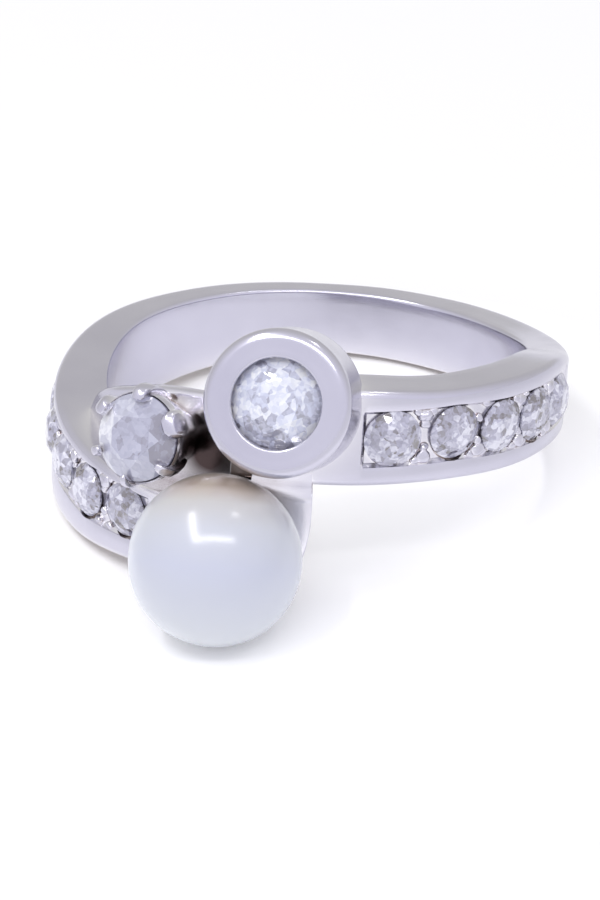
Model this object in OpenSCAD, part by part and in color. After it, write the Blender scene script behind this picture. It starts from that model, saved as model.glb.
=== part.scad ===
// Crossover ring of white gold: one arm ends in a rub-over collet with a round diamond, the other
// carries a pearl on a peg, and a claw-set diamond stands in the crook between them. Each shoulder
// holds five small diamonds in a channel. The ring lies on its side, as it rests by itself.
// Sizes in millimetres. While it is built, the finger axis is Z and the head faces -Y.

/* [Finger hole] */
// Inside diameter of the ring
finger_d = 17; // [16:0.25:18]

/* [Band] */
// Thickness at the back of the band
back_t = 1.3; // [1:0.1:1.6]
// Thickness at the shoulder of the upper arm
upper_t = 1.9; // [1.7:0.1:2.1]
// Thickness at the shoulder of the lower arm
lower_t = 2.25; // [2:0.05:2.4]
// Depth of the channels that hold the shoulder diamonds
channel_depth = 0.35; // [0.2:0.05:0.35]

/* [Pearl] */
// Diameter of the pearl
pearl_d = 6.64; // [6:0.02:7]
// Diameter of the peg that holds the pearl
peg_d = 0.8; // [0.6:0.1:1]

/* [Collet diamond] */
// Diameter of the diamond in the rub-over collet
bezel_stone_d = 3.6; // [3.3:0.1:3.9]
// Outside diameter of the collet
bezel_d = 5.66; // [5.4:0.02:6]
// Length of the collet along its axis
bezel_len = 3.4; // [3:0.1:3.8]

/* [Claw diamond] */
// Diameter of the claw-set diamond
claw_stone_d = 3.4; // [3.1:0.05:3.45]
// Number of claws
claws = 6; // [4:1:8]
// Thickness of one claw
claw_d = 0.6; // [0.5:0.05:0.65]

/* [Shoulder diamonds] */
// Diameter of the shoulder diamonds
shoulder_stone_d = 2.15; // [2:0.05:2.2]
// Diameter of the first one on the upper arm, which is larger
first_stone_d = 2.3; // [2.1:0.05:2.35]
// Diameter of the grains of metal between them
grain_d = 0.55; // [0.5:0.05:0.6]

/* [Fit] */
// Gap between a stone and the metal round it
stone_gap = 0.04; // [0.03:0.01:0.06]
// Gap between the pearl and its cup
pearl_gap = 0.08; // [0.05:0.01:0.12]

/* [Hidden] */
$fn = 64;

bore_r = finger_d / 2;
bore_flat = 0.03;      // how far the bar's flat facets stay outside the true round of the bore
white_gold = "#c9c6d2";
pearl_white = "#eceae4";
diamond_white = "#eef3fb";

// The band is one bar that winds a little more than once round the finger. Its angle runs from the
// collet over the right shoulder, the back and the left shoulder to the tail beside the pearl.
// Columns: angle, upper edge, lower edge, thickness, corner radius
bar = [
    [-17, 4.60, 0.66, upper_t, 0.30],
    [ 10, 4.68, 0.68, upper_t, 0.30],
    [ 30, 4.40, 0.62, upper_t, 0.30],
    [ 50, 4.20, 0.38, upper_t, 0.30],
    [ 70, 3.82, 0.12, upper_t - 0.05, 0.32],
    [ 90, 2.86, -0.35, upper_t - 0.15, 0.36],
    [115, 2.05, -0.90, upper_t - 0.15, 0.40],
    [145, 1.60, -1.28, 1.62, 0.42],
    [165, 1.50, -1.38, 1.40, 0.45],
    [180, 1.45, -1.45, back_t, 0.50],
    [215, 1.40, -2.00, 1.48, 0.45],
    [245, 1.30, -2.55, 1.78, 0.42],
    [270, 0.75, -3.40, lower_t - 0.15, 0.40],
    [285, 0.25, -4.00, lower_t, 0.32],
    [300, -0.28, -4.25, lower_t, 0.30],
    [318, -0.60, -4.05, lower_t, 0.30],
    [326, -0.62, -3.92, lower_t, 0.30],
    [334, -0.35, -3.82, lower_t, 0.30],
    [342, 0.35, -3.77, lower_t, 0.30],
    [348, 0.60, -3.73, lower_t, 0.30],
    [354, 0.61, -3.66, lower_t, 0.30],
    [357, 0.60, -3.35, lower_t, 0.30],
    [359, 0.60, -2.75, lower_t, 0.30],
    [360.3, 0.60, -1.90, lower_t, 0.30],
    [361, 0.60, -1.00, lower_t, 0.30]
];
tail_turns = [355.5, 357, 358, 359, 359.7, 360.3];

// Stretches over which the bore is truly round, a little inside the bar's edges
// Columns: from angle, to angle, lower edge, upper edge
bore_lining = [
    [-16, 61, 0.95, 3.85],
    [61, 90, 0.25, 2.75],
    [90, 130, -0.30, 1.70],
    [130, 200, -1.15, 1.35],
    [200, 246, -1.75, 1.20],
    [246, 268, -2.60, 0.75],
    [268, 290, -3.35, 0.05],
    [290, 326, -3.80, 1.20],
    [326, 344, -3.60, 1.20],
    [344, 353, -3.50, 0.50],
    [353, 358, -2.80, 0.50]
];
lining_t = 0.6;

// The bridge is the thin tail of the upper arm, behind the claw setting, down to the left shoulder
bridge_t = 0.95;
bridge_steps = 12;
// Columns: angle, upper edge, lower edge, thickness, corner radius
bridge = [
    [-84, 0.30, -0.60, bridge_t, 0.15],
    [-73, 0.90, -1.00, bridge_t, 0.15],
    [-60, 1.82, -1.20, bridge_t, 0.15],
    [-50, 2.52, -1.20, bridge_t, 0.15],
    [-42, 2.98, -1.20, bridge_t, 0.15],
    [-32, 3.30, -1.20, bridge_t, 0.15],
    [-12, 3.60, -0.20, bridge_t, 0.15]
];

// Where the settings stand: angle round the finger, distance from its axis and height
bezel_at = [-6.5, 12.5, 4.9];
bezel_turn = -10;      // the collet's axis, left of the head's
bezel_lift = 20;       // and up from the ring's plane
claw_at = [-34.6, 11.7, 1.95];
claw_turn = -28;
claw_lift = 16;
pearl_at = [-15, 12.95, -1.66];

// Shoulder diamonds: angle round the finger and height, outwards from the head
right_stones = [[17.5, 2.66], [32.1, 2.64], [45.2, 2.4], [58, 2.22], [70.8, 2.03]];
left_stones = [[-42, -1.92], [-55.4, -2.02], [-67.8, -1.74], [-80.2, -1.46], [-92.6, -1.02]];
channel_w = 2.3;
wall_draft = 0.1;       // slope of a channel's side walls
channel_run = 6.4;     // angle by which a channel runs on past its end stones
grain_z = 0.82;        // how far a grain stands from the middle of its channel

// Cut of a round stone, as shares of its diameter
table_w = 0.54;
crown_h = 0.17;
girdle_h = 0.03;
pavilion_h = 0.42;

// How the ring lies: turned about X and then Y, and moved over its origin
rest_tip = 7.94;
rest_lean = 5.52;
rest_shift = [0.2881, 3.0514, 2.9128];

function lerp(a, b, t) = a + (b - a) * t;

// Value of a column at an angle: a smooth curve through the rows
function row_of(t, a, i = 0) = (i >= len(t) - 2 || a <= t[i + 1][0]) ? i : row_of(t, a, i + 1);
function slope(t, i, c) = let (lo = max(i - 1, 0), hi = min(i + 1, len(t) - 1))
    (t[hi][c] - t[lo][c]) / (t[hi][0] - t[lo][0]);
function at(t, a, c) = let (
        i = row_of(t, a),
        w = t[i + 1][0] - t[i][0],
        u = (a - t[i][0]) / w,
        m0 = slope(t, i, c) * w,
        m1 = slope(t, i + 1, c) * w
    ) (2*u*u*u - 3*u*u + 1) * t[i][c] + (u*u*u - 2*u*u + u) * m0
        + (3*u*u - 2*u*u*u) * t[i + 1][c] + (u*u*u - u*u) * m1;

// Middle of a channel at an angle, from the stones that it holds
function mid_of(s, a) = let (i = row_of(s, a), u = (a - s[i][0]) / (s[i + 1][0] - s[i][0]))
    lerp(s[i][1], s[i + 1][1], u);
turned_left = [for (i = [4:-1:0]) [left_stones[i][0] + 360, left_stones[i][1]]];

function in_run(s, a) = a > s[0][0] - channel_run && a < s[4][0] + channel_run;
function groove(a) = in_run(right_stones, a) ? channel_depth : in_run(turned_left, a) ? channel_depth : 0;
function held(s, a) = min(max(a, s[0][0] - channel_run), s[4][0] + channel_run);
function centre(a) = (at(bar, a, 1) + at(bar, a, 2)) / 2;
function off_centre(s, a) = mid_of(s, held(s, a)) - centre(held(s, a));
function groove_mid(a) = centre(a) + off_centre(a < 180 ? right_stones : turned_left, a)
    * (1 - pow(min(abs(a - 180), 70) / 70 - 1, 2));

// Outline of the bar at an angle: distance from the finger axis and height
function outline(t, a, d, m) = let (
        top = at(t, a, 1), low = at(t, a, 2), r = bore_r + at(t, a, 3), c = at(t, a, 4),
        h = channel_w / 2, gt = min(m + h, top - c - 0.02), gl = max(m - h, low + c + 0.02)
    ) [
        [bore_r + bore_flat, low], [r - c, low], [r - 0.29 * c, low + 0.29 * c], [r, low + c],
        [r, gl], [r - d, gl + wall_draft], [r - d, gt - wall_draft], [r, gt],
        [r, top - c], [r - 0.29 * c, top - 0.29 * c], [r - c, top], [bore_r + bore_flat, top]
    ];
function place(p, a) = [p[0] * sin(a), -p[0] * cos(a), p[1]];

// Skin over a row of outlines, each a ring of points
module skin_over(rings) {
    n = len(rings[0]);
    m = len(rings);
    polyhedron(
        points = [for (ring = rings) for (p = ring) p],
        faces = concat(
            [[for (i = [n - 1:-1:0]) i]],
            [for (k = [0:m - 2]) for (i = [0:n - 1]) let (j = (i + 1) % n)
                each [[k*n + i, (k + 1)*n + j, (k + 1)*n + i], [k*n + i, k*n + j, (k + 1)*n + j]]],
            [[for (i = [0:n - 1]) (m - 1)*n + i]]
        )
    );
}

step = 5;
edge = 0.12;           // angle over which a channel's end wall rises
function run_ends(s) = [s[0][0] - channel_run, s[4][0] + channel_run];
ends = concat(run_ends(right_stones), run_ends(turned_left));
function clear_of(a) = min([for (e = ends) abs(a - e)]) > 1;
function sorted(v) = len(v) < 2 ? v : let (p = v[floor(len(v) / 2)])
    concat(sorted([for (x = v) if (x < p) x]), [for (x = v) if (x == p) x],
        sorted([for (x = v) if (x > p) x]));
bar_from = bar[0][0];
bar_to = bar[len(bar) - 1][0];
steps = round((bar_to - bar_from) / step);
even = [for (i = [0:steps]) lerp(bar_from, bar_to, i / steps)];
bar_angles = sorted(concat(
    [for (a = even) if (clear_of(a)) a],
    [for (e = ends) each [e - edge, e + edge]],
    tail_turns
));

module bar_solid() {
    skin_over([for (a = bar_angles) [for (p = outline(bar, a, groove(a), groove_mid(a))) place(p, a)]]);
}

module lining() {
    for (s = bore_lining)
        rotate([0, 0, s[0] - 90]) rotate_extrude(angle = s[1] - s[0], $fn = 128)
            translate([bore_r, s[2]]) square([lining_t, s[3] - s[2]]);
}

module bridge_solid() {
    skin_over([for (k = [0:bridge_steps]) let (
            a = lerp(bridge[0][0], bridge[len(bridge) - 1][0], k / bridge_steps),
            top = at(bridge, a, 1), low = at(bridge, a, 2), r = bore_r + at(bridge, a, 3)
        ) [for (p = [[bore_r + bore_flat, low], [r, low], [r, top - 0.3], [r - 0.15, top - 0.08],
                [r - 0.35, top], [bore_r + bore_flat, top]]) place(p, a)]]);
}

// Puts a thing whose axis is Z on a place round the finger, its axis turned and lifted
module setting(place_at, turn, lift) {
    translate([place_at[1] * sin(place_at[0]), -place_at[1] * cos(place_at[0]), place_at[2]])
        rotate([0, 0, turn]) rotate([90 - lift, 0, 0]) children();
}
module at_bezel() { setting(bezel_at, bezel_turn, bezel_lift) children(); }
module at_claws() { setting(claw_at, claw_turn, claw_lift) children(); }
module at_pearl() { setting(pearl_at, pearl_at[0], 0) children(); }
module at_shoulder(s, sink) {
    a = s[0];
    r = bore_r + at(bar, a < 0 ? a + 360 : a, 3) - sink;
    setting([a, r, s[1]], a, 0) children();
}
stone_sink = 0.1;      // girdle of a shoulder diamond below the band's face
function size_of(s) = s == right_stones[0] ? first_stone_d : shoulder_stone_d;

// Round cut stone, its girdle's middle at the origin and its table towards +Z
module brilliant(d) {
    r = d / 2;
    rt = r * table_w;
    g = girdle_h * d / 2;
    hc = crown_h * d;
    hp = pavilion_h * d;
    rs = lerp(rt, r, 0.48);
    zs = g + hc * (r - rs * cos(22.5)) / (r - rt);
    rp = r * 0.32;
    zp = -g - hp * (1 - rp * cos(22.5) / r);
    at_ring = function (rr, z, turn, n) [for (i = [0:n - 1]) [rr * cos(turn + i * 360 / n),
        rr * sin(turn + i * 360 / n), z]];
    pts = concat(at_ring(rt, g + hc, 0, 8), at_ring(rs, zs, 22.5, 8), at_ring(r, g, 0, 16),
        at_ring(r, -g, 0, 16), at_ring(rp, zp, 22.5, 8), [[0, 0, -g - hp]]);
    T = 0; S = 8; G = 16; H = 32; P = 48; C = 56;
    polyhedron(points = pts, faces = concat(
        [[for (i = [7:-1:0]) T + i]],
        [for (i = [0:7]) let (j = (i + 1) % 8, k = (i + 7) % 8) each [
            [T + i, T + j, S + i],
            [T + i, S + i, G + 2*i], [T + i, G + 2*i, S + k],
            [S + i, G + 2*i + 1, G + 2*i], [S + i, G + 2*j, G + 2*i + 1],
            [P + i, H + 2*i, H + 2*i + 1], [P + i, H + 2*i + 1, H + 2*j],
            [P + i, C, H + 2*i], [P + k, H + 2*i, C]
        ]],
        [for (i = [0:15]) let (j = (i + 1) % 16) each [
            [G + i, G + j, H + j], [G + i, H + j, H + i]
        ]]
    ));
}

// Room cut for a round stone, down past its point and up past its table
module stone_room(d, up, back) {
    r = d / 2 + stone_gap;
    g = girdle_h * d / 2 + stone_gap;
    hp = pavilion_h * d;
    rotate_extrude() polygon([[0, up], [r, up], [r, -g], [back, -g - hp * (1 - back / r)],
        [back, -g - hp], [0, -g - hp]]);
}

// Rub-over collet: a round cup with a soft outer edge, a flat lip and an open back
module bezel_solid() {
    r = bezel_d / 2;
    soft = 0.45;
    foot = 0.3;
    rotate_extrude() union() {
        translate([0, -bezel_len]) square([r - soft, bezel_len]);
        translate([0, -bezel_len + foot]) square([r, bezel_len - foot - soft]);
        translate([r - soft, -soft]) circle(soft, $fn = 48);
    }
}
// Room in it: a bevelled lip, a seat for the girdle, a cone for the stone and a round way out
module bezel_room() {
    r = bezel_stone_d / 2 + stone_gap;
    lip = bezel_stone_d / 2 - 0.06;
    bevel = 0.14;
    g = girdle_h * bezel_stone_d / 2 + stone_gap;
    back = 0.9;
    below = 0.8 * pavilion_h * bezel_stone_d;
    rotate_extrude() polygon([[0, 1], [lip + bevel + 1, 1], [lip + bevel, 0.001], [lip, -0.18],
        [lip, -bezel_sink + g + 0.2], [r, -bezel_sink + g], [r, -bezel_sink - g],
        [back, -bezel_sink - g - below], [back, -bezel_len - 2], [0, -bezel_len - 2]]);
}
bezel_sink = 0.62;      // girdle of the diamond below the collet's lip

// Claw setting: an open cone of metal with claws that hold the stone's edge
claw_len = 2.6;
claw_top = 0.35;       // how far a claw stands above the girdle
claw_root = 1.6;       // and reaches down below it
claw_hole = 0.55;
module claw_solid() {
    r = claw_stone_d / 2;
    rotate_extrude() polygon([[0, -claw_len], [r - 0.45, -claw_len], [r + 0.02, -0.55],
        [r - 0.02, -0.45], [0, -0.45]]);
    for (i = [0:claws - 1])
        rotate([0, 0, (i + 0.5) * 360 / claws]) translate([r + 0.06, 0, 0]) rotate([0, -4, 0]) {
            translate([0, 0, -claw_root]) cylinder(h = claw_root + claw_top, d = claw_d);
            translate([0, 0, claw_top]) sphere(d = claw_d);
        }
}
module claw_room() {
    r = claw_stone_d / 2;
    g = girdle_h * r;
    over = 4 * stone_gap;      // sideways, since the star facets stand out past a straight cone
    stone_room(claw_stone_d, 0.12, claw_hole);
    rotate_extrude() polygon([[0, 0], [r + over, 0], [r + over, g],
        [r * table_w + over, g + crown_h * claw_stone_d], [0, g + crown_h * claw_stone_d]]);
    translate([0, 0, -claw_len - 1]) cylinder(h = claw_len + 0.5, r = claw_hole);
}

// Grains of metal between neighbouring stones, two to each gap
module grains(s) {
    for (i = [0:3]) for (side = [-1, 1]) {
        a = (s[i][0] + s[i + 1][0]) / 2;
        z = (s[i][1] + s[i + 1][1]) / 2 + side * grain_z;
        at_shoulder([a, z], 0.12) sphere(d = grain_d, $fn = 24);
    }
}

module band_metal() {
    bar_solid();
    lining();
    bridge_solid();
    // the settings end at the bore
    difference() {
        union() {
            at_bezel() bezel_solid();
            at_claws() claw_solid();
        }
        cylinder(h = 40, r = bore_r + 0.2, center = true, $fn = 128);
    }
    solder();
    grains(right_stones);
    grains(left_stones);
}
// The solder joins the lower arm's tail to the upper arm above it
module solder() {
    from = -11;
    to = 0.3;
    rotate([0, 0, from - 90]) rotate_extrude(angle = to - from, $fn = 128)
        translate([bore_r + 0.3, 0.42]) square([1.5, 0.44]);
}

peg_root = 0.6;        // length of the peg in the metal
peg_in = 1.8;          // and in the pearl
module peg() {
    at_pearl() translate([0, 0, -pearl_d / 2 - peg_root]) cylinder(h = peg_root + peg_in, d = peg_d);
}

module band_made() {
    difference() {
        band_metal();
        at_bezel() bezel_room();
        at_claws() claw_room();
        at_pearl() sphere(r = pearl_d / 2 + pearl_gap, $fn = 96);
        for (s = concat(right_stones, left_stones))
            at_shoulder(s, stone_sink) stone_room(size_of(s), 0.6, 0.2);
    }
    peg();
}

module pearl_made() {
    at_pearl() difference() {
        sphere(d = pearl_d, $fn = 96);
        translate([0, 0, -pearl_d / 2 - 0.2])
            cylinder(h = peg_in + 0.4, d = peg_d + 2 * stone_gap);
    }
}

// Lays the ring on its side, as it rests
module at_rest() { translate(rest_shift) rotate([0, rest_lean, 0]) rotate([-rest_tip, 0, 0]) children(); }

module band() color(white_gold) at_rest() band_made();
module pearl() color(pearl_white) at_rest() pearl_made();
module bezel_diamond() color(diamond_white) at_rest() at_bezel()
    translate([0, 0, -bezel_sink]) brilliant(bezel_stone_d);
module claw_diamond() color(diamond_white) at_rest() at_claws() rotate([0, 0, 9]) brilliant(claw_stone_d);
module shoulder_diamond(s) color(diamond_white) at_rest()
    at_shoulder(s, stone_sink) rotate([0, 0, s[0] * 7]) brilliant(size_of(s));

band();
pearl();
bezel_diamond();
claw_diamond();
shoulder_diamond(right_stones[0]);  // shoulder_diamond_right_1
shoulder_diamond(right_stones[1]);  // shoulder_diamond_right_2
shoulder_diamond(right_stones[2]);  // shoulder_diamond_right_3
shoulder_diamond(right_stones[3]);  // shoulder_diamond_right_4
shoulder_diamond(right_stones[4]);  // shoulder_diamond_right_5
shoulder_diamond(left_stones[0]);  // shoulder_diamond_left_1
shoulder_diamond(left_stones[1]);  // shoulder_diamond_left_2
shoulder_diamond(left_stones[2]);  // shoulder_diamond_left_3
shoulder_diamond(left_stones[3]);  // shoulder_diamond_left_4
shoulder_diamond(left_stones[4]);  // shoulder_diamond_left_5
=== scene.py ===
import math

import bmesh
import bpy
from mathutils import Matrix, Vector, noise


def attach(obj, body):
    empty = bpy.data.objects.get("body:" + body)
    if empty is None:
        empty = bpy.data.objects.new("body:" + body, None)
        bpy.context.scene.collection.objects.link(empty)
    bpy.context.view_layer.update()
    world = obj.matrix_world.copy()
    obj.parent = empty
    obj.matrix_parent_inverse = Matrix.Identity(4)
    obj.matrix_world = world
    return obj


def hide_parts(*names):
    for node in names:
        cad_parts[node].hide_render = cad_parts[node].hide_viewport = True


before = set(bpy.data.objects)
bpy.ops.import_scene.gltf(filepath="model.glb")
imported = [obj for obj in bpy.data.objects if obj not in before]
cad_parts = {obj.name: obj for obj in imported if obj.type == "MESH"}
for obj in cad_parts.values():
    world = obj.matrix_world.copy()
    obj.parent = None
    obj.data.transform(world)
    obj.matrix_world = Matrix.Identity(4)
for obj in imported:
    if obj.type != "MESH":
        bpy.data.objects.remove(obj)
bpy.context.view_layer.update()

# How the ring lies. It is modelled in millimetres round its own finger axis, with the head towards
# -Y, and each piece is then laid on its side: it leans on the pearl, on the lower edge of the left
# arm and on the lower edge of the hoop's back.
tip = math.radians(7.94)
lean = math.radians(5.52)
shift = Vector((0.2881, 3.0514, 2.9128))
lie_turn = Matrix.Rotation(lean, 4, "Y") @ Matrix.Rotation(-tip, 4, "X")
lie = Matrix.Scale(0.001, 4) @ Matrix.Translation(shift) @ lie_turn

# Camera. It stands about 140 mm away, in front of the head, and looks down on the surface from
# about 31 degrees: its elevation in the ring's own frame, and the ring's tip, together.
camera_mm = 140
elevation = math.radians(22.9)
roll = math.radians(-3.66)
film_mm = 36
focal_px = 3400
photo_high_px = 900
# How far right of the picture's middle, and above it, the ring's own middle shows
ring_right_px = 14
ring_above_px = 52.4
towards = Vector((0, -math.cos(elevation), math.sin(elevation)))
upright = Vector((0, math.sin(elevation), math.cos(elevation)))
across = math.cos(roll) * Vector((1, 0, 0)) - math.sin(roll) * upright
upward = math.sin(roll) * Vector((1, 0, 0)) + math.cos(roll) * upright
axis = (focal_px * towards + ring_right_px * across + ring_above_px * upward).normalized()
right = (across - across.dot(axis) * axis).normalized()
above = axis.cross(right)
camera = bpy.data.objects.new("camera", bpy.data.cameras.new("camera"))
bpy.context.scene.collection.objects.link(camera)
aim = Matrix.Identity(4)
for column, way in enumerate((right, above, axis)):
    way = lie_turn.to_3x3() @ way
    for row in range(3):
        aim[row][column] = way[row]
aim.translation = lie @ (camera_mm * towards)
camera.matrix_world = aim
camera.data.sensor_width = film_mm
camera.data.lens = film_mm * focal_px / photo_high_px
camera.data.clip_start = 0.005
camera.data.clip_end = 10
bpy.context.scene.camera = camera

# Hoop and arms. One cast bar of white gold winds a little more than once round the finger: from
# the collet over the right shoulder, the back and the left shoulder to the tail beside the pearl.
# It is filed, polished, and a sunk channel is cut into each shoulder for the small diamonds.
finger_r = 8.5
# Columns: angle, upper edge, lower edge, thickness, corner radius
bar_rows = [
    (-17, 4.60, 0.66, 1.90, 0.30), (10, 4.68, 0.68, 1.90, 0.30), (30, 4.40, 0.62, 1.90, 0.30),
    (50, 4.20, 0.38, 1.90, 0.30), (70, 3.82, 0.12, 1.85, 0.32), (90, 2.86, -0.35, 1.75, 0.36),
    (115, 2.05, -0.90, 1.75, 0.40), (145, 1.60, -1.28, 1.62, 0.42), (165, 1.50, -1.38, 1.40, 0.45),
    (180, 1.45, -1.45, 1.30, 0.50), (215, 1.40, -2.00, 1.48, 0.45), (245, 1.30, -2.55, 1.78, 0.42),
    (270, 0.75, -3.40, 2.10, 0.40), (285, 0.25, -4.00, 2.25, 0.32), (300, -0.28, -4.25, 2.25, 0.30),
    (318, -0.60, -4.05, 2.25, 0.30), (326, -0.62, -3.92, 2.25, 0.30), (334, -0.35, -3.82, 2.25, 0.30),
    (342, 0.35, -3.77, 2.25, 0.30), (348, 0.60, -3.73, 2.25, 0.30), (354, 0.61, -3.66, 2.25, 0.30),
    (357, 0.60, -3.35, 2.25, 0.30), (359, 0.60, -2.75, 2.25, 0.30), (360.3, 0.60, -1.90, 2.25, 0.30),
    (361, 0.60, -1.00, 2.25, 0.30),
]
# Columns: angle round the finger, height
right_stones = [(17.5, 2.66), (32.1, 2.64), (45.2, 2.4), (58, 2.22), (70.8, 2.03)]
left_stones = [(-42, -1.92), (-55.4, -2.02), (-67.8, -1.74), (-80.2, -1.46), (-92.6, -1.02)]
left_run = [(a + 360, z) for a, z in reversed(left_stones)]
channel_w = 2.3
channel_depth = 0.18
# Degrees that a channel runs on past its last stone, and those in which its end drops to the floor
channel_past = 6.4
channel_end = 0.8
# Degrees from the back within which a channel's line bends over to the bar's own middle
line_bend = 70


def at(rows, angle, column):
    """Value of a column at an angle, on a smooth curve through the rows."""
    i = max(0, min(len(rows) - 2, sum(angle > row[0] for row in rows) - 1))
    width = rows[i + 1][0] - rows[i][0]
    u = (angle - rows[i][0]) / width

    def slope(k):
        lo, hi = max(k - 1, 0), min(k + 1, len(rows) - 1)
        return (rows[hi][column] - rows[lo][column]) / (rows[hi][0] - rows[lo][0]) * width

    return ((2 * u**3 - 3 * u**2 + 1) * rows[i][column] + (u**3 - 2 * u**2 + u) * slope(i)
            + (3 * u**2 - 2 * u**3) * rows[i + 1][column] + (u**3 - u**2) * slope(i + 1))


def straight(rows, angle):
    """Height between two stones, on a straight line."""
    i = max(0, min(len(rows) - 2, sum(angle > row[0] for row in rows) - 1))
    u = (angle - rows[i][0]) / (rows[i + 1][0] - rows[i][0])
    return rows[i][1] + (rows[i + 1][1] - rows[i][1]) * u


def channel(angle):
    """Share of the full depth, and the middle's height, of the channel at an angle."""
    run = right_stones if angle < 180 else left_run
    first, last = run[0][0] - channel_past, run[-1][0] + channel_past
    share = min(max(min(angle - first, last - angle) / channel_end + 0.5, 0), 1)
    held = min(max(angle, first), last)
    middle = (at(bar_rows, angle, 1) + at(bar_rows, angle, 2)) / 2
    offset = straight(run, held) - (at(bar_rows, held, 1) + at(bar_rows, held, 2)) / 2
    away = min(abs(angle - 180), line_bend) / line_bend
    return share, middle + offset * (1 - (away - 1) ** 2)


def arc(x, z, r, start, end, count):
    """Points on a rounded corner of a section."""
    turns = [math.radians(start + (end - start) * k / (count - 1)) for k in range(count)]
    return [(x + r * math.cos(t), z + r * math.sin(t)) for t in turns]


def bar_section(angle):
    """Outline of the bar at an angle: distance from the bore and height, the same count each time."""
    top, low, thick, corner = (at(bar_rows, angle, c) for c in (1, 2, 3, 4))
    share, middle = channel(angle)
    ease, land, draft, worn = 0.16, 0.06, 0.08, 0.05
    lip, depth = worn * share, channel_depth * share
    upper = min(middle + channel_w / 2, top - corner - land)
    lower = max(middle - channel_w / 2, low + corner + land)
    points = arc(ease, low + ease, ease, 180, 270, 5)
    points += [(ease + (thick - corner - ease) * k / 4, low) for k in (1, 2, 3)]
    points += arc(thick - corner, low + corner, corner, 270, 360, 8)
    points += [(thick, lower - worn), (thick - 0.3 * lip, lower - 0.3 * worn), (thick - lip, lower)]
    points += [(thick - depth + lip, lower + draft), (thick - depth, lower + draft + worn)]
    points += [(thick - depth, lower + (upper - lower) * k / 6) for k in range(1, 6)]
    points += [(thick - depth, upper - draft - worn), (thick - depth + lip, upper - draft)]
    points += [(thick - lip, upper), (thick - 0.3 * lip, upper + 0.3 * worn), (thick, upper + worn)]
    points += arc(thick - corner, top - corner, corner, 0, 90, 8)
    points += [(ease + (thick - corner - ease) * k / 4, top) for k in (3, 2, 1)]
    points += arc(ease, top - ease, ease, 90, 180, 5)
    points += [(0, low + ease + (top - low - 2 * ease) * k / 6) for k in (5, 4, 3, 2, 1)]
    return points


def round_finger(r, angle, z):
    """A place in the ring's own frame from its distance to the finger axis, angle and height."""
    return Vector((r * math.sin(math.radians(angle)), -r * math.cos(math.radians(angle)), z))


def swept(sections):
    """A closed skin through a row of outlines, from a grid that is rolled into a tube."""
    bm = bmesh.new()
    steps, corners = len(sections) - 1, len(sections[0])
    bmesh.ops.create_grid(bm, x_segments=steps, y_segments=corners, size=1)
    for v in bm.verts:
        i = round((v.co.x + 1) / 2 * steps)
        j = round((v.co.y + 1) / 2 * corners) % corners
        v.co = sections[i][j]
    bmesh.ops.remove_doubles(bm, verts=bm.verts, dist=1e-6)
    bmesh.ops.holes_fill(bm, edges=[e for e in bm.edges if e.is_boundary], sides=0)
    bmesh.ops.recalc_face_normals(bm, faces=bm.faces)
    return bm


def laid(bm, name):
    """A piece of the ring from its mesh in millimetres, laid as the ring lies."""
    bmesh.ops.transform(bm, matrix=lie, verts=bm.verts)
    mesh = bpy.data.meshes.new(name)
    bm.to_mesh(mesh)
    bm.free()
    piece = bpy.data.objects.new(name, mesh)
    bpy.context.scene.collection.objects.link(piece)
    return piece


def carved(piece, cutters):
    """The piece with the cutters' room taken out of it."""
    for cutter_piece in cutters:
        cut = piece.modifiers.new("cut", "BOOLEAN")
        cut.operation = "DIFFERENCE"
        cut.solver = "EXACT"
        cut.object = cutter_piece
    finished = piece.evaluated_get(bpy.context.evaluated_depsgraph_get())
    whole = bpy.data.meshes.new_from_object(finished)
    piece.modifiers.clear()
    piece.data = whole
    return piece


def softened(piece, angle=35):
    """Smooth faces with crisp edges where the surface turns by more than the angle."""
    for face in piece.data.polygons:
        face.use_smooth = True
    piece.data.set_sharp_from_angle(angle=math.radians(angle))
    weighted = piece.modifiers.new("weighted", "WEIGHTED_NORMAL")
    weighted.keep_sharp = True


def node(tree, kind, inputs=None, **settings):
    """A shader node with its settings and inputs."""
    made = tree.nodes.new("ShaderNode" + kind)
    for key, value in settings.items():
        setattr(made, key, value)
    for key, value in (inputs or {}).items():
        if isinstance(value, bpy.types.NodeSocket):
            tree.links.new(value, made.inputs[key])
        else:
            made.inputs[key].default_value = value
    return made


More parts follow.
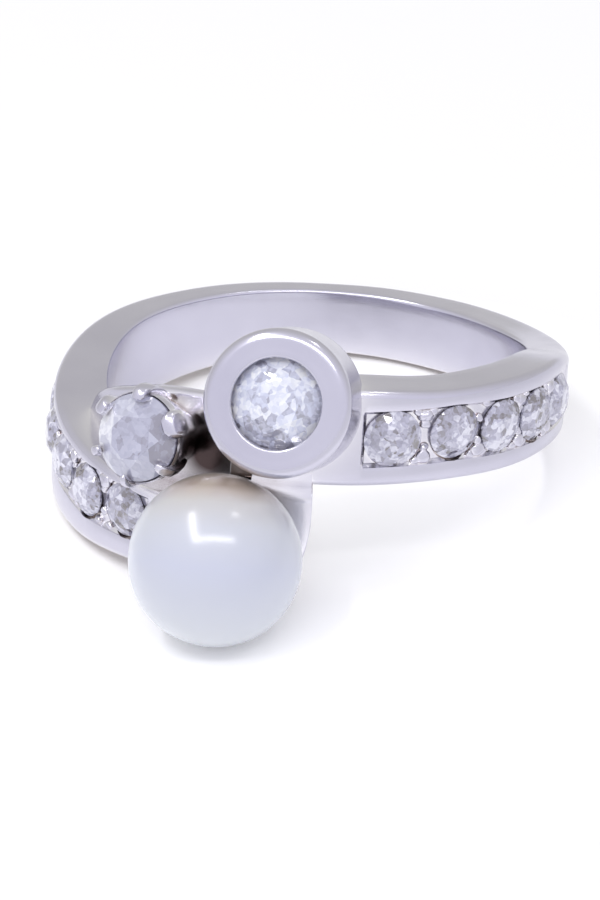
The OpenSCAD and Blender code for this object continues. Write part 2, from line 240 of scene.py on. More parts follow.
def white_gold(name, crevice_shade, crook_shadow=None):
    """Polished white gold: lavender grey with faint clouds and hairlines, painted brown shade in the
    crevices and a painted pale bounce light where the surface is partly closed in. The crook, if
    given, is a painted dark shadow: its middle, and how far out the shadow is full and ends."""
    material = bpy.data.materials.new(name)
    material.use_nodes = True
    tree = material.node_tree
    shader = tree.nodes["Principled BSDF"]
    place = node(tree, "TexCoord").outputs["Object"]
    clouds = node(tree, "TexNoise", {"Vector": place, "Scale": 320, "Detail": 3, "Roughness": 0.5})
    tint = node(tree, "ValToRGB", {"Fac": clouds.outputs["Fac"]})
    tint.color_ramp.elements[0].position = 0.3
    tint.color_ramp.elements[0].color = (0.51, 0.50, 0.585, 1)
    tint.color_ramp.elements[1].position = 0.7
    tint.color_ramp.elements[1].color = (0.555, 0.545, 0.63, 1)
    # Painted shade: the colour turns brown where ambient occlusion finds the surface closed in
    recess = node(tree, "AmbientOcclusion", {"Distance": 0.0018}, samples=8, only_local=False)
    shade = node(tree, "ValToRGB", {"Fac": recess.outputs["AO"]})
    shade.color_ramp.elements[0].position = 0.08
    shade.color_ramp.elements[0].color = crevice_shade
    shade.color_ramp.elements[1].position = 0.28
    shade.color_ramp.elements[1].color = (1, 1, 1, 1)
    # Painted bounce light: the colour turns pale where ambient occlusion finds the surface partly
    # closed in
    bounce_share = node(tree, "MapRange", {"Value": recess.outputs["AO"], "From Min": 0.35,
                                     "From Max": 0.95, "To Min": 1.0, "To Max": 0.0})
    painted_bounce = node(tree, "Mix", {"Factor": bounce_share.outputs[0], "A": tint.outputs["Color"],
                             "B": (0.88, 0.865, 0.885, 1)}, data_type="RGBA")
    base = node(tree, "Mix", {"Factor": 1.0}, data_type="RGBA", blend_type="MULTIPLY")
    tree.links.new(painted_bounce.outputs["Result"], base.inputs["A"])
    tree.links.new(shade.outputs["Color"], base.inputs["B"])
    colour = base.outputs["Result"]
    # Painted shadow in the crook: a near-black patch with a wavy edge round its middle
    if crook_shadow:
        middle, near, far = crook_shadow
        away = node(tree, "VectorMath", {0: place, 1: middle}, operation="DISTANCE")
        wavy = node(tree, "Math", {0: clouds.outputs["Fac"], 1: 0.0006, 2: away.outputs["Value"]},
                    operation="MULTIPLY_ADD")
        crook_shade = node(tree, "MapRange", {"Value": wavy.outputs[0], "From Min": near, "From Max": far})
        darker = node(tree, "Mix", {"Factor": crook_shade.outputs[0], "A": (0.07, 0.05, 0.05, 1)},
                      data_type="RGBA")
        tree.links.new(colour, darker.inputs["B"])
        colour = darker.outputs["Result"]
    tree.links.new(colour, shader.inputs["Base Color"])
    smears = node(tree, "TexNoise", {"Vector": place, "Scale": 900, "Detail": 4, "Roughness": 0.6})
    polish = node(tree, "MapRange", {"Value": smears.outputs["Fac"], "From Min": 0.3,
                                     "From Max": 0.7, "To Min": 0.18, "To Max": 0.26})
    tree.links.new(polish.outputs[0], shader.inputs["Roughness"])
    stretch = node(tree, "Mapping", {"Vector": place, "Scale": (900, 900, 9000)})
    hairs = node(tree, "TexNoise", {"Vector": stretch.outputs[0], "Scale": 1, "Detail": 4,
                                    "Roughness": 0.7})
    dents = node(tree, "TexNoise", {"Vector": place, "Scale": 700, "Detail": 1})
    both = node(tree, "Math", {0: hairs.outputs["Fac"], 1: dents.outputs["Fac"]}, operation="ADD")
    bump = node(tree, "Bump", {"Height": both.outputs[0], "Strength": 0.25, "Distance": 0.00001})
    tree.links.new(bump.outputs[0], shader.inputs["Normal"])
    shader.inputs["Metallic"].default_value = 1
    return material


# The arm gold has a painted dark shadow round the crook between the arms; both golds have painted
# brown shade in their crevices
crook_shadow_middle = lie @ round_finger(9.9, -25, 0.95)
arm_gold = white_gold("arm_gold", (0.34, 0.25, 0.22, 1), (crook_shadow_middle, 0.0011, 0.0023))
gold = white_gold("white_gold", (0.50, 0.42, 0.40, 1))


def gilded(piece):
    """Arm gold outside, with its painted shadow in the crook, and the gold without that shadow on the
    worn finger side.
    """
    piece.data.materials.append(arm_gold)
    piece.data.materials.append(gold)
    stood_up = lie.inverted()
    for face in piece.data.polygons:
        place = stood_up @ face.center
        face.material_index = int(math.hypot(place.x, place.y) < finger_r + 0.5)


# Outlines stand 1.5 degrees apart, with closer ones at the channels' ends and at the tail's end
station_step = 1.5
bar_from, bar_to = bar_rows[0][0], bar_rows[-1][0]
channel_ends = []
for run in (right_stones, left_run):
    channel_ends += [run[0][0] - channel_past, run[-1][0] + channel_past]
stations = []
for k in range(round((bar_to - bar_from) / station_step) + 1):
    angle = bar_from + k * station_step
    if min(abs(angle - end) for end in channel_ends) > station_step / 2:
        stations.append(angle)
stations += [end + part for end in channel_ends for part in (-0.45, -0.2, 0.2, 0.45)]
stations += [358.4, 359, 360, 360.3, 360.7]
stations.sort()
hoop_mesh = swept([[round_finger(finger_r + r, a, z) for r, z in bar_section(a)] for a in stations])
# Only the bar's two flat ends are faces of more than 20 corners
end_edges = [e for e in hoop_mesh.edges if any(len(f.verts) > 20 for f in e.link_faces)]
bmesh.ops.bevel(hoop_mesh, geom=end_edges, offset=0.2, segments=4, profile=0.5, affect="EDGES",
                material=-1, clamp_overlap=True)
hoop = laid(hoop_mesh, "hoop_and_arms")

# Seats. The setter cuts a round seat into the white gold for each diamond and a cup for the pearl.
# Each is modelled as the room that is cut away, and the finished hoop loses it here.
shoulder_d = 2.15
first_d = 2.3
shoulder_sink = 0.1
claw_stone_d = 3.4
bezel_stone_d = 3.6
bezel_sink = 0.62
bezel_len = 3.4
pearl_r = 3.32
# Gaps between the metal and a shoulder diamond's side, any other stone's side, and the pearl
shoulder_gap = 0.012
stone_gap = 0.04
pearl_gap = 0.08
# Half the girdle as a share of a stone's radius, and a seat's cone as a share of its diameter
girdle = 0.03
seat_cone = 0.42


def stand(angle, r, z, turn, lift):
    """Puts a thing whose axis is Z on a place round the finger, its axis turned and lifted."""
    return (Matrix.Translation(round_finger(r, angle, z))
            @ Matrix.Rotation(math.radians(turn), 4, "Z")
            @ Matrix.Rotation(math.radians(90 - lift), 4, "X"))


def on_shoulder(angle, z, sink):
    """The stand of a stone or grain that is sunk into the bar's outside at an angle."""
    r = finger_r + at(bar_rows, angle + 360 if angle < 0 else angle, 3) - sink
    return stand(angle, r, z, angle, 0)


def size_of(stone):
    """Diameter of a shoulder diamond; the first one on the right is larger."""
    return first_d if stone == right_stones[0] else shoulder_d


def revolved(profile, steps):
    """A closed round thing from its outline: distance from the axis and height."""
    bm = bmesh.new()
    dots = [bm.verts.new((r, 0, z)) for r, z in profile]
    edges = [bm.edges.new(pair) for pair in zip(dots, dots[1:])]
    if profile[0][0] > 1e-6:
        edges.append(bm.edges.new((dots[-1], dots[0])))
    bmesh.ops.spin(bm, geom=dots + edges, cent=(0, 0, 0), axis=(0, 0, 1), angle=2 * math.pi,
                   steps=steps, use_merge=True, use_duplicate=False)
    bmesh.ops.remove_doubles(bm, verts=bm.verts, dist=1e-6)
    bmesh.ops.recalc_face_normals(bm, faces=bm.faces)
    return bm


def moved(bm, matrix):
    """The same mesh in another place."""
    bmesh.ops.transform(bm, matrix=matrix, verts=bm.verts)
    return bm


def gathered(meshes):
    """One mesh from several."""
    whole = bmesh.new()
    for one in meshes:
        loose = bpy.data.meshes.new("loose")
        one.to_mesh(loose)
        one.free()
        whole.from_mesh(loose)
        bpy.data.meshes.remove(loose)
    return whole


def seat(d, gap, up, back):
    """The room for a round stone: a drum above its girdle, a cone below and a hole at the back."""
    r = d / 2 + gap
    g = girdle * d / 2 + stone_gap
    deep = -g - seat_cone * d
    cone_end = -g + (deep + g) * (1 - back / r)
    return revolved([(0, up), (r, up), (r, -g), (back, cone_end), (back, deep), (0, deep)], 48)


def cutter(bm, name):
    """Room to be cut away, which is taken out of the scene at the end."""
    piece = laid(bm, name)
    piece.hide_render = True
    return piece


bezel_stand = stand(-6.5, 12.5, 4.9, -10, 20)
claw_stand = stand(-34.6, 11.7, 1.95, -28, 16)
pearl_stand = stand(-15, 12.95, -1.66, -15, 0)
shoulder_seats = []
for stone in right_stones + left_stones:
    room = seat(size_of(stone), shoulder_gap, up=0.6, back=0.2)
    shoulder_seats.append(moved(room, on_shoulder(*stone, shoulder_sink)))
seat_cutter = cutter(gathered(shoulder_seats), "seat_cutter")
# Four seats are cut wider below the stone, which shows as a dark crescent beside it
drum_r, drum_top, drum_low = 0.97 * shoulder_d / 2, 0.6, -0.26
wide_seats = []
for stone in (right_stones[1], right_stones[3], left_stones[0], left_stones[1]):
    drum = revolved([(0, drum_top), (drum_r, drum_top), (drum_r, drum_low), (0, drum_low)], 48)
    beside = Matrix.Translation((0.03, -0.15, 0))
    wide_seats.append(moved(drum, on_shoulder(*stone, shoulder_sink) @ beside))
crescent_cutter = cutter(gathered(wide_seats), "crescent_cutter")
pearl_room = bmesh.new()
bmesh.ops.create_uvsphere(pearl_room, u_segments=96, v_segments=64, radius=pearl_r + pearl_gap)
pearl_cutter = cutter(moved(pearl_room, pearl_stand), "pearl_cutter")
lip_r = bezel_stone_d / 2 - 0.06
back_r = 0.9
under_girdle = -bezel_sink - (girdle * bezel_stone_d / 2 + stone_gap)
bezel_room = revolved([
    (0, 1), (lip_r - 0.1, 1), (lip_r - 0.1, under_girdle),
    (back_r, under_girdle - 1), (back_r, -bezel_len - 2), (0, -bezel_len - 2),
], 96)
bezel_cutter = cutter(moved(bezel_room, bezel_stand), "bezel_cutter")
claw_room = seat(claw_stone_d, stone_gap, up=0.3, back=0.55)
claw_cutter = cutter(moved(claw_room, claw_stand), "claw_cutter")

carved(hoop, [pearl_cutter, seat_cutter, crescent_cutter, bezel_cutter, claw_cutter])
softened(hoop)
gilded(hoop)
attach(hoop, "root")
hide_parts("band")

# Bridge. A thin wall of white gold runs from the upper arm behind the claw setting down to the
# left shoulder. It is cast with the hoop, and its top edge is rounded by polishing.
bridge_inner = 0.4
# Columns: angle, upper edge, lower edge, outside
bridge_rows = [
    (-75, -0.10, -1.00, 0.95), (-71, 0.50, -1.00, 0.95), (-67, 1.20, -1.05, 0.95),
    (-60, 1.86, -1.20, 0.95), (-50, 2.52, -1.20, 0.95), (-42, 2.98, -1.20, 0.95),
    (-32, 3.30, -1.20, 0.95), (-12, 3.60, -0.20, 0.95),
]


def bridge_section(angle):
    """Outline of the bridge at an angle: distance from the bore and height."""
    top, low, outer = (at(bridge_rows, angle, c) for c in (1, 2, 3))
    soft, inner, worn = 0.22, bridge_inner, 0.12
    points = [(inner, low), ((inner + outer) / 2, low), (outer, low)]
    points += [(outer, low + (top - soft - low) * k / 5) for k in (1, 2, 3, 4)]
    points += arc(outer - soft, top - soft, soft, 0, 90, 8)
    points += arc(inner + worn, top - worn, worn, 90, 180, 4)
    points += [(inner, low + (top - soft - low) * k / 5) for k in (4, 3, 2, 1)]
    return points


bridge_mesh = swept([[round_finger(finger_r + r, a, z) for r, z in bridge_section(a)]
                     for a in range(bridge_rows[0][0], bridge_rows[-1][0] + 1)])
bridge = carved(laid(bridge_mesh, "bridge"), [claw_cutter, bezel_cutter, pearl_cutter])
softened(bridge)
gilded(bridge)
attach(bridge, "root")
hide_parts("band")

# Solder. A fillet of white gold joins the top of the tail to the lower edge of the upper arm, and
# is filed flush with both.
solder_from, solder_to = -12, 0.7
# Columns: distance from the bore, height
solder_outline = [
    (0.4, 0.3), (2.2, 0.05), (2.254, 0.15), (2.25, 0.32), (2.225, 0.46), (2.17, 0.6), (2.09, 0.74),
    (2.01, 0.88), (1.95, 1.02), (1.91, 1.16), (1.88, 1.3), (1.7, 1.35), (0.4, 0.9),
]
solder_angles = [solder_from + (solder_to - solder_from) * k / 12 for k in range(13)]
solder_mesh = swept([[round_finger(finger_r + r, a, z) for r, z in solder_outline]
                     for a in solder_angles])
solder = carved(laid(solder_mesh, "solder"), [pearl_cutter, bezel_cutter])
softened(solder, 60)
solder.data.materials.append(gold)
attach(solder, "root")
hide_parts("band")

# Collet. A turned cup of white gold, soldered to the end of the upper arm. Its lip is rubbed over
# the diamond's edge all round, and its face is flat with a soft outer edge. Its back end is cut
# back clear of the finger hole.
bezel_d = 5.66
bezel_r = bezel_d / 2
groove_top = -bezel_sink + (girdle * bezel_stone_d / 2 + stone_gap)
collet_profile = [(back_r, -bezel_len), (back_r, -2.3), (lip_r + 0.1, under_girdle),
                  (lip_r + 0.1, groove_top), (lip_r, -0.36), (lip_r - 0.01, -0.16)]
collet_profile += arc(lip_r + 0.09, -0.1, 0.1, 180, 95, 5)
collet_profile += [(lip_r + 0.25, -0.012), (lip_r + 0.4, -0.02), (bezel_r - 0.58, -0.01)]
collet_profile += arc(bezel_r - 0.45, -0.45, 0.45, 86, 0, 12)
collet_profile += [(bezel_r, -0.8), (bezel_r, -1.6), (bezel_r, -2.4), (bezel_r, -bezel_len + 0.3)]
collet_profile += arc(bezel_r - 0.15, -bezel_len + 0.15, 0.15, 0, -90, 4)
collet_profile += [(1.8, -bezel_len)]
bore_r = finger_r + 0.15
bore = bmesh.new()
bmesh.ops.create_cone(bore, cap_ends=True, segments=192, radius1=bore_r, radius2=bore_r, depth=40)
bore_cutter = cutter(bore, "bore_cutter")
collet = laid(moved(revolved(collet_profile, 160), bezel_stand), "collet")
carved(collet, [bore_cutter, pearl_cutter])
softened(collet)
collet.data.materials.append(gold)
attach(collet, "root")
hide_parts("band")

# Claw setting. A small cone of white gold is soldered into the crook of the two arms, with six
# claws whose tips are pressed down over the diamond's edge.
claw_len = 2.6
claw_d = 0.6
cup_r = claw_stone_d / 2
cone = revolved([
    (0.55, -claw_len), (0.55, -1.6), (cup_r - 0.02, -0.14), (cup_r + 0.02, -0.06),
    (cup_r + 0.06, -0.02), (cup_r + 0.1, -0.1), (cup_r + 0.06, -0.6), (cup_r - 0.28, -1.7),
    (cup_r - 0.45, -claw_len),
], 96)
# Columns: distance from the stone's axis, height, share of the claw's thickness
claw_path = [
    (cup_r - 0.25, -1.7, 0.55), (cup_r - 0.05, -1.2, 0.65), (cup_r + 0.08, -0.6, 0.85),
    (cup_r + 0.12, -0.1, 1), (cup_r + 0.11, 0.12, 1), (cup_r + 0.06, 0.28, 1),
    (cup_r - 0.02, 0.41, 0.93), (cup_r - 0.12, 0.49, 0.78), (cup_r - 0.20, 0.53, 0.55),
    (cup_r - 0.25, 0.54, 0.2),
]
# Columns: breadth as a share of thickness, thickness as a share of claw_d
claw_sizes = [(1.6, 1.15), (1.1, 1.05), (1.2, 1.0), (0.95, 0.68), (0.95, 0.62), (0.95, 0.75)]
sideways = Vector((0, 1, 0))


def squarish(share):
    """Pushes a round section out towards a square one."""
    return math.copysign(abs(share) ** 0.6, share)


def claw(turn, broad, thick):
    """One claw: squarish outlines along its path, turned round the stone's axis."""
    outlines = []
    for i, (r, z, wide) in enumerate(claw_path):
        before, after = claw_path[max(i - 1, 0)], claw_path[min(i + 1, len(claw_path) - 1)]
        out = Vector((after[0] - before[0], 0, after[1] - before[1])).normalized().cross(sideways)
        half = wide * thick * claw_d / 2
        outlines.append([turn @ (Vector((r, 0, z)) + half * (
            squarish(math.cos(t)) * out + broad * squarish(math.sin(t)) * sideways))
            for t in [2 * math.pi * n / 20 for n in range(20)]])
    return swept(outlines)


claws = []
for k, (broad, thick) in enumerate(claw_sizes):
    turn = Matrix.Rotation(math.radians((k + 0.5) * 360 / len(claw_sizes)), 3, "Z")
    claws.append(claw(turn, broad, thick))
claw_setting = laid(moved(gathered([cone] + claws), claw_stand), "claw_setting")
softened(claw_setting)
claw_setting.data.materials.append(arm_gold)
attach(claw_setting, "root")
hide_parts("band")

# Grains. Small beads of white gold, raised with a graver from the channel's floor: a large one and
# smaller ones above and below in each gap between neighbouring shoulder diamonds.
grain_sink = 0.12
uneven = 0.07
gap_degrees = 6
# Columns: share of gap_degrees from the gap's middle, height from the channel's middle, diameter
grain_rows = [(0, 0.84, 0.55), (-0.3, 1.0, 0.34), (0.28, 1.02, 0.32), (0, 0.47, 0.34)]
grain_mesh = bmesh.new()
for run in (right_stones, left_stones):
    for near, far in zip(run, run[1:]):
        for side in (-1, 1):
            for along, up, grain_d in grain_rows:
                angle = (near[0] + far[0]) / 2 + along * gap_degrees
                height = (near[1] + far[1]) / 2 + side * up
                place = on_shoulder(angle, height, grain_sink)
                flat = Matrix.Diagonal((1.15, 1.05, 0.75, 1))
                bmesh.ops.create_uvsphere(grain_mesh, u_segments=20, v_segments=14,
                                          radius=grain_d / 2, matrix=place @ flat)
for v in grain_mesh.verts:
    v.co += uneven * noise.noise_vector(v.co * 3.5)
grains = carved(laid(grain_mesh, "grains"), [seat_cutter])
softened(grains, 60)
grains.data.materials.append(gold)
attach(grains, "root")
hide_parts("band")

# Peg. A plain post of white gold, soldered upright on the lower arm. The pearl is pushed over it
# and glued.
peg_r = 0.4
peg_root = 0.6
peg_in = 1.8
peg_mesh = bmesh.new()
bmesh.ops.create_cone(peg_mesh, cap_ends=True, segments=40, radius1=peg_r, radius2=peg_r,
                      depth=peg_root + peg_in)
rims = [e for e in peg_mesh.edges if e.calc_face_angle(0) > 1]
bmesh.ops.bevel(peg_mesh, geom=rims, offset=0.08, segments=3, profile=0.5, affect="EDGES",
                material=-1)
peg_middle = Matrix.Translation((0, 0, -pearl_r - peg_root + (peg_root + peg_in) / 2))
peg = laid(moved(peg_mesh, pearl_stand @ peg_middle), "pearl_peg")
softened(peg)
peg.data.materials.append(gold)
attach(peg, "root")
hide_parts("band")

# Pearl. A cultured pearl, half drilled and glued on the peg. Its skin is creamy nacre with a soft
# sheen and a few tiny pits.
hole_r = peg_r + stone_gap
hole_top = -pearl_r + peg_in + 0.2
mouth = math.degrees(math.asin(hole_r / pearl_r))
pearl_profile = [(0, hole_top), (hole_r, hole_top)]
pearl_profile += [(pearl_r * math.sin(math.radians(t)), -pearl_r * math.cos(math.radians(t)))
                  for t in [mouth + (180 - mouth) * k / 110 for k in range(111)]]
pearl_mesh = revolved(pearl_profile, 160)
for v in pearl_mesh.verts:
    if v.co.length > pearl_r - 0.01:
        v.co *= 1 + 0.0025 * noise.noise(v.co * 0.35) - 0.0008


def nacre(middle):
    """Pearl skin: bluish white below and creamy above, turning grey and brown towards the collet as
    painted shade and a painted reflection of it, with pits.
    """
    material = bpy.data.materials.new("nacre")
    material.use_nodes = True
    tree = material.node_tree
    shader = tree.nodes["Principled BSDF"]
    place = node(tree, "TexCoord").outputs["Object"]
    clouds = node(tree, "TexNoise", {"Vector": place, "Scale": 170, "Detail": 3, "Roughness": 0.55})
    from_middle = node(tree, "VectorMath", {0: place, 1: middle}, operation="SUBTRACT")
    brow = node(tree, "VectorMath", {0: from_middle.outputs[0], 1: (0.1, 0.46, 0.88)},
                operation="DOT_PRODUCT")
    level = node(tree, "MapRange", {"Value": brow.outputs["Value"], "From Min": -0.001 * pearl_r,
                                    "From Max": 0.001 * pearl_r})
    drift = node(tree, "Math", {0: clouds.outputs["Fac"], 1: 0.12, 2: level.outputs[0]},
                 operation="MULTIPLY_ADD")
    tint = node(tree, "ValToRGB", {"Fac": drift.outputs[0]})
    tones = tint.color_ramp.elements
    # The ramp's last stops, grey to brown on the side towards the collet, are painted shade and a
    # painted reflection of the collet
    tones[0].position, tones[0].color = 0.1, (0.50, 0.52, 0.555, 1)
    tones[1].position, tones[1].color = 1.0, (0.33, 0.27, 0.23, 1)
    for spot, colour in ((0.55, (0.455, 0.475, 0.565, 1)), (0.78, (0.47, 0.485, 0.54, 1)),
                         (0.91, (0.46, 0.45, 0.455, 1)), (0.97, (0.42, 0.37, 0.34, 1))):
        tones.new(spot).color = colour
    pits = node(tree, "TexVoronoi", {"Vector": place, "Scale": 420, "Randomness": 1.0},
                feature="F1")
    fleck = node(tree, "MapRange", {"Value": pits.outputs["Distance"], "From Min": 0.02,
                                    "From Max": 0.05, "To Min": 0.65, "To Max": 1.0})
    skin_tone = node(tree, "VectorMath", {0: tint.outputs["Color"], "Scale": fleck.outputs[0]},
                     operation="SCALE")
    tree.links.new(skin_tone.outputs[0], shader.inputs["Base Color"])
    grain = node(tree, "TexNoise", {"Vector": place, "Scale": 5200, "Detail": 2})
    pit = node(tree, "MapRange", {"Value": pits.outputs["Distance"], "From Min": 0.01,
                                  "From Max": 0.04, "To Min": 0, "To Max": 1})
    rough = node(tree, "MapRange", {"Value": clouds.outputs["Fac"], "From Min": 0.3,
                                    "From Max": 0.7, "To Min": 0.19, "To Max": 0.26})
    tree.links.new(rough.outputs[0], shader.inputs["Roughness"])
    skin = node(tree, "Bump", {"Height": grain.outputs["Fac"], "Strength": 0.12,
                               "Distance": 0.000004})
    dimple = node(tree, "Bump", {"Height": pit.outputs[0], "Strength": 0.5, "Distance": 0.00002,
                                 "Normal": skin.outputs[0]})
    tree.links.new(dimple.outputs[0], shader.inputs["Normal"])
    shader.inputs["IOR"].default_value = 1.6
    shader.inputs["Subsurface Weight"].default_value = 0.25
    shader.inputs["Subsurface Radius"].default_value = (1.0, 0.9, 0.8)
    shader.inputs["Subsurface Scale"].default_value = 0.0006
    shader.inputs["Coat Weight"].default_value = 0.5
    shader.inputs["Coat Roughness"].default_value = 0.19
    shader.inputs["Coat IOR"].default_value = 1.5
    shader.inputs["Sheen Weight"].default_value = 0.15
    shader.inputs["Sheen Roughness"].default_value = 0.4
    shader.inputs["Sheen Tint"].default_value = (0.82, 0.92, 0.95, 1)
    return material


pearl = laid(moved(pearl_mesh, pearl_stand), "pearl_ball")
softened(pearl, 50)
pearl.data.materials.append(nacre(lie @ pearl_stand.translation))
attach(pearl, "root")
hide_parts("pearl")

# Diamonds. Round old cuts: a table, eight stars, eight kites and sixteen girdle facets above, eight
# long facets, sixteen girdle facets and a small flat point below, each ground flat. They are held
# by the collet's lip, by the claws and, on the shoulders, by the grains.
crown_angle = 34
pavilion_angle = 40.5
culet_share = 0.07


def grind(bm, point, way):
    """Takes off what lies beyond a plane and closes the stone with one flat facet."""
    cut = bmesh.ops.bisect_plane(bm, geom=bm.verts[:] + bm.edges[:] + bm.faces[:], dist=1e-5,
                                 plane_co=point, plane_no=way, clear_outer=True)
    rim = [e for e in cut["geom_cut"] if isinstance(e, bmesh.types.BMEdge)]
    if len(rim) > 2:
        bmesh.ops.holes_fill(bm, edges=rim, sides=0)


def cut_stone(d, table):
    """A round drum of diamond, ground down facet by facet, with its table as a share of its size."""
    r = d / 2
    g = girdle * d / 2
    rise = (r - r * table) * math.tan(math.radians(crown_angle))
    fall = (r - culet_share * r) * math.tan(math.radians(pavilion_angle))
    bm = bmesh.new()
    bmesh.ops.create_cone(bm, cap_ends=True, segments=96, radius1=r, radius2=r, depth=2.4 * d)
    facets = []
    for k in range(8):
        main = k * 45
        facets.append((main, crown_angle, Vector((r, 0, g)), 1))
        facets.append((main, pavilion_angle, Vector((r, 0, -g)), -1))
        star = Vector((r * table * math.cos(math.radians(22.5)), 0, g + rise))
        facets.append((main + 22.5, crown_angle * 0.62, star, 1))
        for side in (-11.25, 11.25):
            facets.append((main + side, crown_angle + 7.5, Vector((r, 0, g)), 1))
            facets.append((main + side, pavilion_angle + 2.6, Vector((r, 0, -g)), -1))
    for turn, slope, point, up in facets:
        spin = Matrix.Rotation(math.radians(turn), 3, "Z")
        tilt = math.radians(slope)
        grind(bm, spin @ point, spin @ Vector((math.sin(tilt), 0, up * math.cos(tilt))))
    grind(bm, Vector((0, 0, g + rise)), Vector((0, 0, 1)))
    grind(bm, Vector((0, 0, -g - fall)), Vector((0, 0, -1)))
    bmesh.ops.recalc_face_normals(bm, faces=bm.faces)
    return bm


def diamond(name, cells, shares, skewed, ramp):
    """Cut diamond whose colour is painted reflection: each facet has a painted tone, broken up by
    coarse and fine painted glints. The shares are what the facet, the coarse and the fine ones count
    for, there are this many cells of painted glint to the metre, skewed is how far each cell's face
    turns, and the ramp runs from the darkest painted reflection to the brightest."""
    material = bpy.data.materials.new(name)
    material.use_nodes = True
    tree = material.node_tree
    shader = tree.nodes["Principled BSDF"]
    place = node(tree, "TexCoord").outputs["Object"]
    wave = node(tree, "TexNoise", {"Vector": place, "Scale": cells * 1.3, "Detail": 2})
    warp = node(tree, "VectorMath", {0: wave.outputs["Color"], "Scale": 0.5 / cells},
                operation="SCALE")
    warped = node(tree, "VectorMath", {0: place, 1: warp.outputs[0]}, operation="ADD")
    coarse_glints = node(tree, "TexVoronoi", {"Vector": warped.outputs[0], "Scale": cells}, feature="F1")
    fine_glints = node(tree, "TexVoronoi", {"Vector": warped.outputs[0], "Scale": cells * 2.0},
                feature="F1")
    facet = node(tree, "Attribute", attribute_name="painted_facet_reflection")
    coarse_glint = node(tree, "SeparateColor", {"Color": coarse_glints.outputs["Color"]})
    fine_glint = node(tree, "SeparateColor", {"Color": fine_glints.outputs["Color"]})
    tone = node(tree, "Math", {0: facet.outputs["Fac"], 1: shares[0]}, operation="MULTIPLY")
    for part, share in ((coarse_glint, shares[1]), (fine_glint, shares[2])):
        tone = node(tree, "Math", {0: part.outputs["Red"], 1: share, 2: tone.outputs[0]},
                    operation="MULTIPLY_ADD")
    tint = node(tree, "ValToRGB", {"Fac": tone.outputs[0]})
    tones = tint.color_ramp.elements
    tones[0].position, tones[0].color = ramp[0][0], (*ramp[0][1], 1)
    tones[1].position, tones[1].color = ramp[-1][0], (*ramp[-1][1], 1)
    for spot, colour in ramp[1:-1]:
        tones.new(spot).color = (*colour, 1)
    tree.links.new(tint.outputs["Color"], shader.inputs["Base Color"])
    wear = node(tree, "MapRange", {"Value": coarse_glint.outputs["Green"], "From Min": 0.3,
                                   "From Max": 1.0, "To Min": 0.0, "To Max": 0.06})
    tree.links.new(wear.outputs[0], shader.inputs["Roughness"])
    skew = node(tree, "VectorMath", {0: coarse_glints.outputs["Color"], 1: (0.5, 0.5, 0.5)},
                operation="SUBTRACT")
    skew = node(tree, "VectorMath", {0: skew.outputs[0], "Scale": skewed}, operation="SCALE")
    face = node(tree, "NewGeometry").outputs["Normal"]
    tilted = node(tree, "VectorMath", {0: face, 1: skew.outputs[0]}, operation="ADD")
    tilted = node(tree, "VectorMath", {0: tilted.outputs[0]}, operation="NORMALIZE")
    tree.links.new(tilted.outputs[0], shader.inputs["Normal"])
    shader.inputs["Transmission Weight"].default_value = 0.3
    shader.inputs["IOR"].default_value = 2.42
    return material


looks = {
    "bezel": diamond("bezel_diamond", cells=3000, shares=(0.3, 0.48, 0.22), skewed=0.4, ramp=[
        (0.24, (0.32, 0.32, 0.40)), (0.34, (0.46, 0.47, 0.60)),
        (0.50, (0.62, 0.655, 0.84)), (0.76, (0.94, 0.96, 1)),
    ]),
    "claw": diamond("claw_diamond", cells=2500, shares=(0.7, 0.18, 0.12), skewed=0.2, ramp=[
        (0.18, (0.24, 0.23, 0.31)), (0.36, (0.41, 0.415, 0.55)),
        (0.60, (0.58, 0.59, 0.73)), (0.80, (0.92, 0.93, 1)),
    ]),
    "shoulder": diamond("shoulder_diamond", cells=3600, shares=(0.3, 0.48, 0.22), skewed=0.42, ramp=[
        (0.22, (0.13, 0.11, 0.12)), (0.33, (0.31, 0.30, 0.39)),
        (0.54, (0.46, 0.455, 0.60)), (0.78, (0.88, 0.88, 1)),
    ]),
}
# Columns: name, place, diameter, table as a share of the diameter, turn round the stone's axis
stones = [
    ("bezel_diamond", bezel_stand @ Matrix.Translation((0, 0, -bezel_sink)), bezel_stone_d, 0.50, 6),
    ("claw_diamond", claw_stand, claw_stone_d, 0.52, 31),
]
for side, run in (("right", right_stones), ("left", left_stones)):
    for k, stone in enumerate(run):
        stones.append((f"shoulder_diamond_{side}_{k + 1}", on_shoulder(*stone, shoulder_sink),
                       size_of(stone), 0.54, 7 * stone[0]))
# The claw-set stone's table is its only facet of more than this, in square metres
table_area = 1.5e-6
# The claw-set stone's table gets one dark painted reflection
table_reflection = 0.28
# The facets' painted reflections are drawn by chance, the same ones on each run
noise.seed_set(7)
for name, place, d, table, turn in stones:
    turned = place @ Matrix.Rotation(math.radians(turn), 4, "Z")
    piece = laid(moved(cut_stone(d, table), turned), name + "_cut")
    tones = piece.data.attributes.new("painted_facet_reflection", "FLOAT", "FACE")
    middle = lie @ place.translation
    for polygon in piece.data.polygons:
        tone = noise.random()
        # On the claw-set stone the other facets get painted light, brighter towards the left
        if name == "claw_diamond":
            painted_left_light = (middle.x - polygon.center.x) / (d * 0.0005)
            if polygon.area > table_area:
                tone = table_reflection
            else:
                tone = table_reflection + 0.35 * tone + 0.42 * painted_left_light
        tones.data[polygon.index].value = tone
    piece.data.materials.append(looks[name.split("_")[0]])
    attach(piece, "root")
    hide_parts(name)

# The rooms have been cut, so what stood for them goes
for room in (seat_cutter, crescent_cutter, pearl_cutter, bezel_cutter, claw_cutter, bore_cutter):
    spare = room.data
    bpy.data.objects.remove(room)
    bpy.data.meshes.remove(spare)

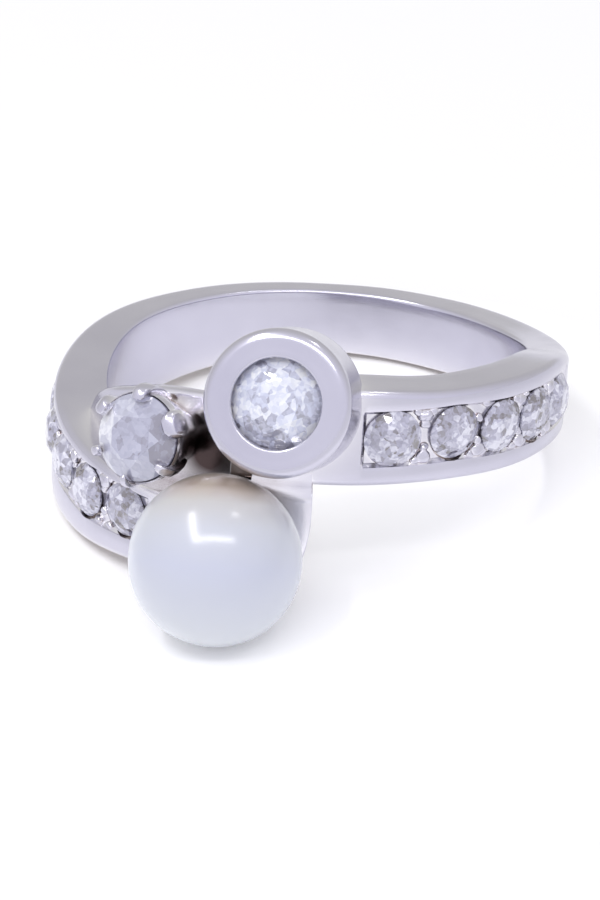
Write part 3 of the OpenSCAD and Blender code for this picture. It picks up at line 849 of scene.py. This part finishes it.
# Floor. A plain pale sheet, a little greyer away from the ring.
floor_mesh = bmesh.new()
bmesh.ops.create_grid(floor_mesh, x_segments=8, y_segments=8, size=1.2)
mesh = bpy.data.meshes.new("floor")
floor_mesh.to_mesh(mesh)
floor_mesh.free()
floor = bpy.data.objects.new("floor", mesh)
bpy.context.scene.collection.objects.link(floor)
sheet = bpy.data.materials.new("pale_sheet")
sheet.use_nodes = True
tree = sheet.node_tree
shader = tree.nodes["Principled BSDF"]
place = node(tree, "TexCoord").outputs["Object"]
mottle = node(tree, "TexNoise", {"Vector": place, "Scale": 300, "Detail": 3})
far = node(tree, "VectorMath", {0: place, 1: (0, -0.004, 0)}, operation="DISTANCE")
drop = node(tree, "MapRange", {"Value": far.outputs["Value"], "From Min": 0.0125, "From Max": 0.022})
level = node(tree, "Math", {0: mottle.outputs["Fac"], 1: 0.08, 2: drop.outputs[0]},
             operation="MULTIPLY_ADD")
tone = node(tree, "ValToRGB", {"Fac": level.outputs[0]})
tone.color_ramp.elements[0].color = (0.90, 0.90, 0.91, 1)
tone.color_ramp.elements[1].color = (0.665, 0.665, 0.675, 1)
tree.links.new(tone.outputs["Color"], shader.inputs["Base Color"])
shader.inputs["Roughness"].default_value = 0.7
# A faint glow all over the sheet, painted light that lightens the ring's shadow on it
shader.inputs["Emission Color"].default_value = (1, 1, 1, 1)
shader.inputs["Emission Strength"].default_value = 0.12
floor.data.materials.append(sheet)

# Studio. A pale room all round, darker at the back, with two bright tubes and a small lamp
# overhead, whose reflections show on the pearl.
world = bpy.data.worlds.new("studio")
bpy.context.scene.world = world
world.use_nodes = True
tree = world.node_tree
way = node(tree, "SeparateXYZ", {"Vector": node(tree, "TexCoord").outputs["Generated"]})
behind = node(tree, "MapRange", {"Value": way.outputs["Y"], "From Min": -0.5, "From Max": 0.75})
wall = node(tree, "ValToRGB", {"Fac": behind.outputs[0]})
wall.color_ramp.elements[0].color = (0.98, 0.975, 1.05, 1)
wall.color_ramp.elements[1].color = (0.72, 0.715, 0.68, 1)
tree.links.new(wall.outputs["Color"], tree.nodes["Background"].inputs["Color"])
tree.nodes["Background"].inputs["Strength"].default_value = 1.1


def panel(name, place, wide, high, power):
    """A flat panel of light over the ring, which shines straight down."""
    light = bpy.data.lights.new(name, "AREA")
    light.shape = "RECTANGLE"
    light.size, light.size_y = wide, high
    light.energy = power
    lamp = bpy.data.objects.new(name, light)
    bpy.context.scene.collection.objects.link(lamp)
    lamp.location = place


panel("tube_left", (-0.13, -0.06, 0.30), 0.03, 0.236, 0.30)
panel("tube_front", (0.02, -0.175, 0.30), 0.33, 0.03, 0.34)
panel("small_lamp", (0.136, 0.05, 0.30), 0.03, 0.03, 0.03)
bpy.context.scene.view_settings.view_transform = "Standard"
bpy.context.scene.view_settings.look = "None"
